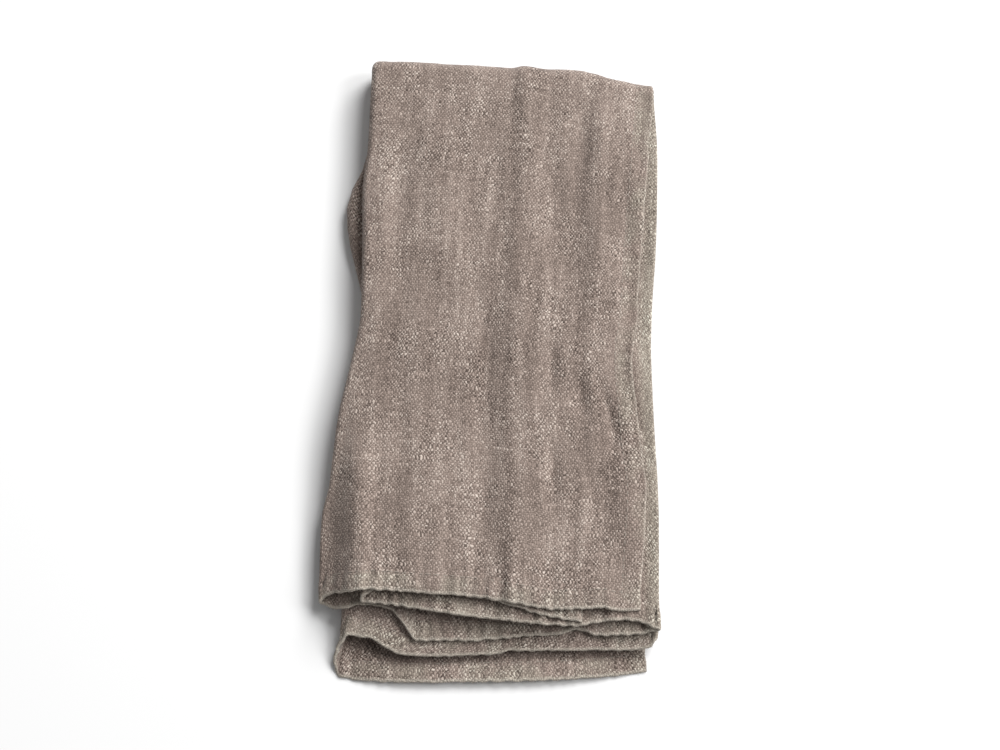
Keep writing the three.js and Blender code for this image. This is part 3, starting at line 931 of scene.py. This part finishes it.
def add_heights(weave):
    n = weave.n
    over = half_wave(n, n.math("ADD", weave.q, weave.i))
    under = half_wave(n, n.math("ADD", weave.p, weave.j))
    warp_slub = n.noise(n.math("MULTIPLY", weave.i, SLUB_STEP), n.math("MULTIPLY", weave.v, 0.45))
    weft_place = n.math("MULTIPLY_ADD", weave.j, SLUB_STEP, 40.0)
    weft_slub = n.noise(weft_place, n.math("MULTIPLY", weave.u, 0.55))
    warp_slub = n.spread(warp_slub, WARP_SLUB["from"], WARP_SLUB["to"])
    weft_slub = n.spread(weft_slub, WEFT_SLUB["from"], WEFT_SLUB["to"])
    over, under = n.math("MULTIPLY", over, OVER_SHARE), n.math("MULTIPLY", under, -OVER_SHARE)
    warp = thread_height(n, weave.p, over, warp_slub, WARP_SLUB["height"])
    weft = thread_height(n, weave.q, under, weft_slub, WEFT_SLUB["height"])
    weave.height = n.math("SMOOTH_MAX", warp, weft, 0.15)
    weave.warp_on_top = n.spread(n.math("SUBTRACT", warp, weft), -0.12, 0.12)
    weave.slub = n.math("MAXIMUM", warp_slub, weft_slub)


print("a thread's height is", ROUND_SHARE, "roundness and", OVER_SHARE, "rise over the other")

# %% [markdown]
# Tones
# Every crossing, every thread and every wash mark has a tone of its own. Fine fibres add grain,
# and streaks along the warp and wide soft clouds come from dyeing and washing. In some places
# the grain is clearer than in others. Crossings where the warp lies on top are made darker, as
# painted shade for the light falling on threads that run the other way. The tone then picks a
# colour between dark gaps and pale thread tops, and the gaps get painted shade where threads dip.

# %% Tones of the cloth
MIDDLE_TONE = 0.44
SLUB_TONE = 0.12
# warp_on_top darkens the crossings where the warp lies on top: painted shade
GRAIN_SHARES = {"warp_on_top": -0.30, "crossing": 0.24, "thread": 0.36, "fibre": 0.44}
WASH_SHARES = {"streak": 0.30, "cloud": 0.24}
THREAD_TONES = (
    (0.00, (0.060, 0.043, 0.035, 1)),
    (0.35, (0.185, 0.142, 0.120, 1)),
    (0.60, (0.330, 0.262, 0.226, 1)),
    (1.00, (0.620, 0.540, 0.475, 1)),
)


def cloth_tone(weave):
    n = weave.n
    crossing = n.put("ShaderNodeTexWhiteNoise", noise_dimensions="2D")
    n.feed(crossing.inputs["Vector"], n.vector(weave.i, weave.j))
    warp_tone = n.noise(n.math("MULTIPLY", weave.i, 1.73), n.math("MULTIPLY", weave.v, 1.6))
    weft_place = n.math("MULTIPLY_ADD", weave.j, 1.73, 90.0)
    weft_tone = n.noise(weft_place, n.math("MULTIPLY", weave.u, 2.0))
    parts = {
        "warp_on_top": weave.warp_on_top,
        "crossing": crossing.outputs["Value"],
        "thread": n.blend(weave.warp_on_top, weft_tone, warp_tone),
        "fibre": weave.fibre,
        "streak": weave.noise_at(2.4, 0.16, detail=2.0),
        "cloud": weave.noise_at(0.35, 0.30),
    }
    grain = n.add_shares(0.0, [(parts[name], share) for name, share in GRAIN_SHARES.items()])
    clearness = n.spread(weave.noise_at(0.9, 0.5, v_shift=12.0), 0.3, 0.7, 0.65, 1.3)
    tone = n.math("MULTIPLY_ADD", grain, clearness, MIDDLE_TONE)
    tone = n.add_shares(tone, [(parts[name], share) for name, share in WASH_SHARES.items()])
    return n.math("MULTIPLY_ADD", weave.slub, SLUB_TONE, tone)


def thread_colour(weave):
    n = weave.n
    ramp = n.put("ShaderNodeValToRGB")
    while len(ramp.color_ramp.elements) < len(THREAD_TONES):
        ramp.color_ramp.elements.new(0.5)
    for element, (place, colour) in zip(ramp.color_ramp.elements, THREAD_TONES):
        element.position = place
        element.color = colour
    n.feed(ramp.inputs[0], cloth_tone(weave))
    # painted shade: the colour darkens where the threads dip into the gaps between them
    gap_shade = n.spread(weave.height, 0.2, 1.0, 0.72, 1.18)
    return n.colour_mix(1.0, ramp.outputs[0], n.grey(gap_shade), "MULTIPLY")


print("tones from", THREAD_TONES[0][1][:3], "to", THREAD_TONES[-1][1][:3])

# %% [markdown]
# Worn linen and painted rim highlights
# Hems and rubbed folds are paler and greyer than the flat cloth, so their colour is multiplied
# by a tint, which keeps the weave. The very rim of a hem is paler still: partly from its fuzzy
# fibres, and partly a painted highlight, strongest on the front rims, which face away from the
# lamps. Linen is matt, with a slight sheen from its fibres.

# %% Linen material
WORN_TINT = (1.11, 1.22, 1.18, 1)
# pale rim colour: fuzzy fibres and a painted highlight
HEM_RIM_FIBRE_AND_HIGHLIGHT_COLOUR = (0.60, 0.55, 0.47, 1)
BUMP_DISTANCE = 0.22 * MM


def attribute_of(n, name):
    return n.put("ShaderNodeAttribute", attribute_name=name).outputs["Fac"]


def worn_and_highlit_colour(weave, colour):
    n = weave.n
    edge = attribute_of(n, "edge_distance")
    patchy = n.spread(weave.noise_at(0.8, 0.8), 0.35, 0.65)
    hem = n.math("MULTIPLY", n.spread(edge, 5.2, 7.2, 0.75, 0.0), patchy)
    worn = n.math("MAXIMUM", hem, attribute_of(n, "wear"))
    colour = n.colour_mix(worn, colour, WORN_TINT, "MULTIPLY")
    # painted highlight: the front rims, which face away from the lamps, are lightened in colour, and
    # the side hems get a milder painted rim; fibre noise breaks it up
    front_rim_fibre_and_highlight = n.spread(attribute_of(n, "front_distance"), 0.4, 1.4, 0.85, 0.0)
    rim = n.math("MAXIMUM", front_rim_fibre_and_highlight, n.spread(edge, 0.2, 0.9, 0.3, 0.0))
    rim = n.math("MULTIPLY", rim, n.spread(weave.fibre, 0.3, 0.7, 0.2, 1.0))
    return n.colour_mix(rim, colour, HEM_RIM_FIBRE_AND_HIGHLIGHT_COLOUR)


def linen_material():
    material = bpy.data.materials.new("washed_linen")
    material.use_nodes = True
    n = Nodes(material.node_tree)
    shader = material.node_tree.nodes["Principled BSDF"]
    weave = Weave(n)
    add_heights(weave)
    weave.fibre = weave.noise_at(45.0, 30.0, detail=2.0)
    n.feed(shader.inputs["Base Color"], worn_and_highlit_colour(weave, thread_colour(weave)))

    bump = n.put("ShaderNodeBump")
    bump.inputs["Strength"].default_value = 0.75
    bump.inputs["Distance"].default_value = BUMP_DISTANCE
    n.feed(bump.inputs["Height"], n.math("MULTIPLY_ADD", weave.fibre, 0.25, weave.height))
    n.feed(shader.inputs["Normal"], bump.outputs[0])
    shader.inputs["Roughness"].default_value = 0.92
    shader.inputs["Specular IOR Level"].default_value = 0.18
    shader.inputs["Sheen Weight"].default_value = 0.18
    shader.inputs["Sheen Roughness"].default_value = 0.5
    return material


linen = linen_material()
napkin.data.materials.append(linen)
print("linen material:", len(linen.node_tree.nodes), "nodes")

# %% [markdown]
# Stitches and loose fibres
# A hem is held by a straight row of machine stitches, drawn a little into the cloth, and its
# worn edge is fuzzy with short fibres. Both are the same job: a small spindle of thread set
# again and again along a line. So one Geometry Nodes tree does both. It makes a curve of the
# line, spaces points along it, sets a spindle on each and turns each by a random angle.
# Its inputs are the spacing, length, width, turn, seed and material of the threads. Placing
# thousands of them by hand is out of the question, and a spindle needs few faces.

# %% Threads along a line
SPINDLE_SIDES = 5
SPINDLE_RINGS = 5
SHORTEST, LONGEST = 0.7, 1.1
LENGTH_SEED_STEP = 7.0
THREAD_INPUTS = (
    ("Pitch", "NodeSocketFloat"), ("Length", "NodeSocketFloat"), ("Width", "NodeSocketFloat"),
    ("Turn", "NodeSocketFloat"), ("Seed", "NodeSocketInt"), ("Finish", "NodeSocketMaterial"),
)


def random_value(n, kind, low, high, seed):
    made = n.put("FunctionNodeRandomValue", data_type=kind)
    sockets = [socket for socket in made.inputs if socket.enabled]
    for name, given in (("Min", low), ("Max", high), ("Seed", seed)):
        n.feed([socket for socket in sockets if socket.name == name][0], given)
    return [socket for socket in made.outputs if socket.enabled][0]


def thread_tree():
    tree = bpy.data.node_groups.new("threads_along_a_line", "GeometryNodeTree")
    tree.interface.new_socket("Line", in_out="INPUT", socket_type="NodeSocketGeometry")
    for name, kind in THREAD_INPUTS:
        tree.interface.new_socket(name, in_out="INPUT", socket_type=kind)
    tree.interface.new_socket("Threads", in_out="OUTPUT", socket_type="NodeSocketGeometry")
    n = Nodes(tree)
    given = n.put("NodeGroupInput").outputs

    curve = n.put("GeometryNodeMeshToCurve")
    n.feed(curve.inputs["Mesh"], given["Line"])
    spaced = n.put("GeometryNodeResampleCurve", mode="LENGTH")
    n.feed(spaced.inputs["Curve"], curve.outputs[0])
    n.feed(spaced.inputs["Length"], given["Pitch"])

    spindle = n.put("GeometryNodeMeshUVSphere")
    spindle.inputs["Segments"].default_value = SPINDLE_SIDES
    spindle.inputs["Rings"].default_value = SPINDLE_RINGS
    spindle.inputs["Radius"].default_value = 0.5
    aligned = n.put("FunctionNodeAlignRotationToVector", axis="Z")
    n.feed(aligned.inputs["Vector"], n.put("GeometryNodeInputTangent").outputs[0])
    most = n.vector(given["Turn"], given["Turn"])
    least = n.math("MULTIPLY", given["Turn"], -1.0)
    turned = n.put("FunctionNodeRotateRotation", rotation_space="LOCAL")
    angles = random_value(n, "FLOAT_VECTOR", n.vector(least, least), most, given["Seed"])
    as_rotation = n.put("FunctionNodeEulerToRotation")
    n.feed(as_rotation.inputs[0], angles)
    n.feed(turned.inputs["Rotation"], aligned.outputs[0])
    n.feed(turned.inputs["Rotate By"], as_rotation.outputs[0])
    size = n.put("ShaderNodeCombineXYZ")
    length_seed = n.math("ADD", given["Seed"], LENGTH_SEED_STEP)
    longer = random_value(n, "FLOAT", SHORTEST, LONGEST, length_seed)
    n.feed(size.inputs["X"], given["Width"])
    n.feed(size.inputs["Y"], given["Width"])
    n.feed(size.inputs["Z"], n.math("MULTIPLY", given["Length"], longer))

    placed = n.put("GeometryNodeInstanceOnPoints")
    n.feed(placed.inputs["Points"], spaced.outputs[0])
    n.feed(placed.inputs["Instance"], spindle.outputs[0])
    n.feed(placed.inputs["Rotation"], turned.outputs[0])
    n.feed(placed.inputs["Scale"], size.outputs[0])
    real = n.put("GeometryNodeRealizeInstances")
    n.feed(real.inputs[0], placed.outputs[0])
    finished = n.put("GeometryNodeSetMaterial")
    n.feed(finished.inputs["Geometry"], real.outputs[0])
    n.feed(finished.inputs["Material"], given["Finish"])
    n.feed(n.put("NodeGroupOutput").inputs["Threads"], finished.outputs[0])
    return tree


THREAD_TREE = thread_tree()
print("thread tree:", len(THREAD_TREE.nodes), "nodes")

# %% [markdown]
# Where the threads lie
# The stitches follow the grid line one hem width in from every edge, on both faces of the
# cloth. The fibres follow the folded edges of the hems. Both are lines of the cloth's own grid,
# so they stay on it whatever its folds do.

# %% Lines for the threads
def lines_of(row, column):
    grid = cloth_points.reshape(2, ROW_COUNT, len(COLUMNS), 3)
    last_row, last_column = ROW_COUNT - row, len(COLUMNS) - column
    lines = []
    for skin in grid:
        lines.append(skin[row, column:last_column])
        lines.append(skin[last_row - 1, column:last_column])
        lines.append(skin[row:last_row, column])
        lines.append(skin[row:last_row, last_column - 1])
    return lines


STITCH_ROW = FRONT_STEPS.index(HEM_WIDTH)
STITCH_COLUMN = HEM_STEPS.index(HEM_WIDTH)
stitch_lines = lines_of(STITCH_ROW, STITCH_COLUMN)
fibre_lines = lines_of(1, 1)
print("lines for stitches and for fibres:", len(stitch_lines), "and", len(fibre_lines))

# %% [markdown]
# Setting the threads
# The lines are lifted where they would run below the table, and the modifier's result is kept
# as plain mesh. Stitches lie straight along the line. Fibres are thin and stand every way.

# %% Hem stitches and edge fibres
def threads_along(name, lines, lowest, finish, **inputs):
    points = np.concatenate(lines)
    points[:, 2] = np.maximum(points[:, 2], lowest)
    starts = np.cumsum([0] + [len(line) for line in lines])
    edges = [(k, k + 1) for a, b in zip(starts, starts[1:]) for k in range(a, b - 1)]
    mesh = bpy.data.meshes.new(name)
    mesh.from_pydata((points * MM).tolist(), edges, [])
    piece = bpy.data.objects.new(name, mesh)
    bpy.context.scene.collection.objects.link(piece)
    modifier = piece.modifiers.new("threads", "NODES")
    modifier.node_group = THREAD_TREE
    sockets = {item.name: item.identifier for item in THREAD_TREE.interface.items_tree}
    for key, value in {**inputs, "Finish": finish}.items():
        modifier[sockets[key]] = value
    bpy.context.view_layer.update()
    made = piece.evaluated_get(bpy.context.evaluated_depsgraph_get())
    plain = bpy.data.meshes.new_from_object(made)
    piece.modifiers.remove(modifier)
    piece.data = plain
    print(name + ":", len(plain.polygons), "faces")
    return piece


def plain_material(name, colour, roughness):
    material = bpy.data.materials.new(name)
    material.use_nodes = True
    shader = material.node_tree.nodes["Principled BSDF"]
    shader.inputs["Base Color"].default_value = (*colour, 1)
    shader.inputs["Roughness"].default_value = roughness
    shader.inputs["Specular IOR Level"].default_value = 0.1
    return material


STITCHES_ABOVE_TABLE = 0.2
FIBRES_ABOVE_TABLE = 0.8
thread_finish = plain_material("hem_thread", (0.34, 0.30, 0.26), 0.9)
stitching = threads_along(
    "hem_stitching", stitch_lines, STITCHES_ABOVE_TABLE, thread_finish,
    Pitch=2.9 * MM, Length=2.3 * MM, Width=0.34 * MM, Turn=0.05, Seed=4,
)
fibres = threads_along(
    "edge_fibres", fibre_lines, FIBRES_ABOVE_TABLE, thread_finish,
    Pitch=1.1 * MM, Length=1.4 * MM, Width=0.08 * MM, Turn=1.3, Seed=9,
)

# %% [markdown]
# Stage
# The napkin lies on a plain white floor. A large soft lamp on the far right gives the shading
# that rolls over the folds and a short soft shadow to the left, a second one on the right keeps
# the right edge pale, and a dim white surround fills the rest. Both lamps stand well away, so
# that the floor is lit evenly and doesn't burn out over the shadow.

# %% Floor, lamps and surround
FLOOR_HALF = 3.0
FLOOR_COLOUR = (0.82, 0.82, 0.82)
LAMP_DISTANCE = 2.6
SURROUND_STRENGTH = 0.26
corners = np.array([(-1, -1, 0), (1, -1, 0), (1, 1, 0), (-1, 1, 0)]) * FLOOR_HALF / MM
floor = make_mesh("floor", corners, np.array([(0, 1, 2, 3)]))
floor.data.materials.append(plain_material("white_floor", FLOOR_COLOUR, 0.9))


def area_lamp(name, azimuth, elevation, size, power):
    data = bpy.data.lights.new(name, "AREA")
    data.shape = "DISK"
    data.size = size
    data.energy = power
    lamp = bpy.data.objects.new(name, data)
    turn, rise = math.radians(azimuth), math.radians(elevation)
    lamp.location = (
        LAMP_DISTANCE * math.cos(rise) * math.cos(turn),
        LAMP_DISTANCE * math.cos(rise) * math.sin(turn),
        LAMP_DISTANCE * math.sin(rise),
    )
    lamp.rotation_euler = (math.pi / 2 - rise, 0, turn + math.pi / 2)
    bpy.context.scene.collection.objects.link(lamp)
    return lamp


key_lamp = area_lamp("key_lamp", azimuth=51, elevation=39, size=1.58, power=90)
right_lamp = area_lamp("right_lamp", azimuth=5, elevation=38, size=1.11, power=36)
world = bpy.data.worlds.new("surround")
world.use_nodes = True
world.node_tree.nodes["Background"].inputs["Color"].default_value = (1, 1, 1, 1)
world.node_tree.nodes["Background"].inputs["Strength"].default_value = SURROUND_STRENGTH
bpy.context.scene.world = world
bpy.context.scene.view_settings.view_transform = "Standard"
bpy.context.scene.view_settings.look = "None"
print("lamps, watts:", key_lamp.data.energy, "and", right_lamp.data.energy)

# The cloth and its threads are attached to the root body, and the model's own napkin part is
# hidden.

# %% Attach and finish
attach(napkin, "root")
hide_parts("napkin_cloth")
for threads_piece in (stitching, fibres):
    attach(threads_piece, "root")

bpy.context.view_layer.update()
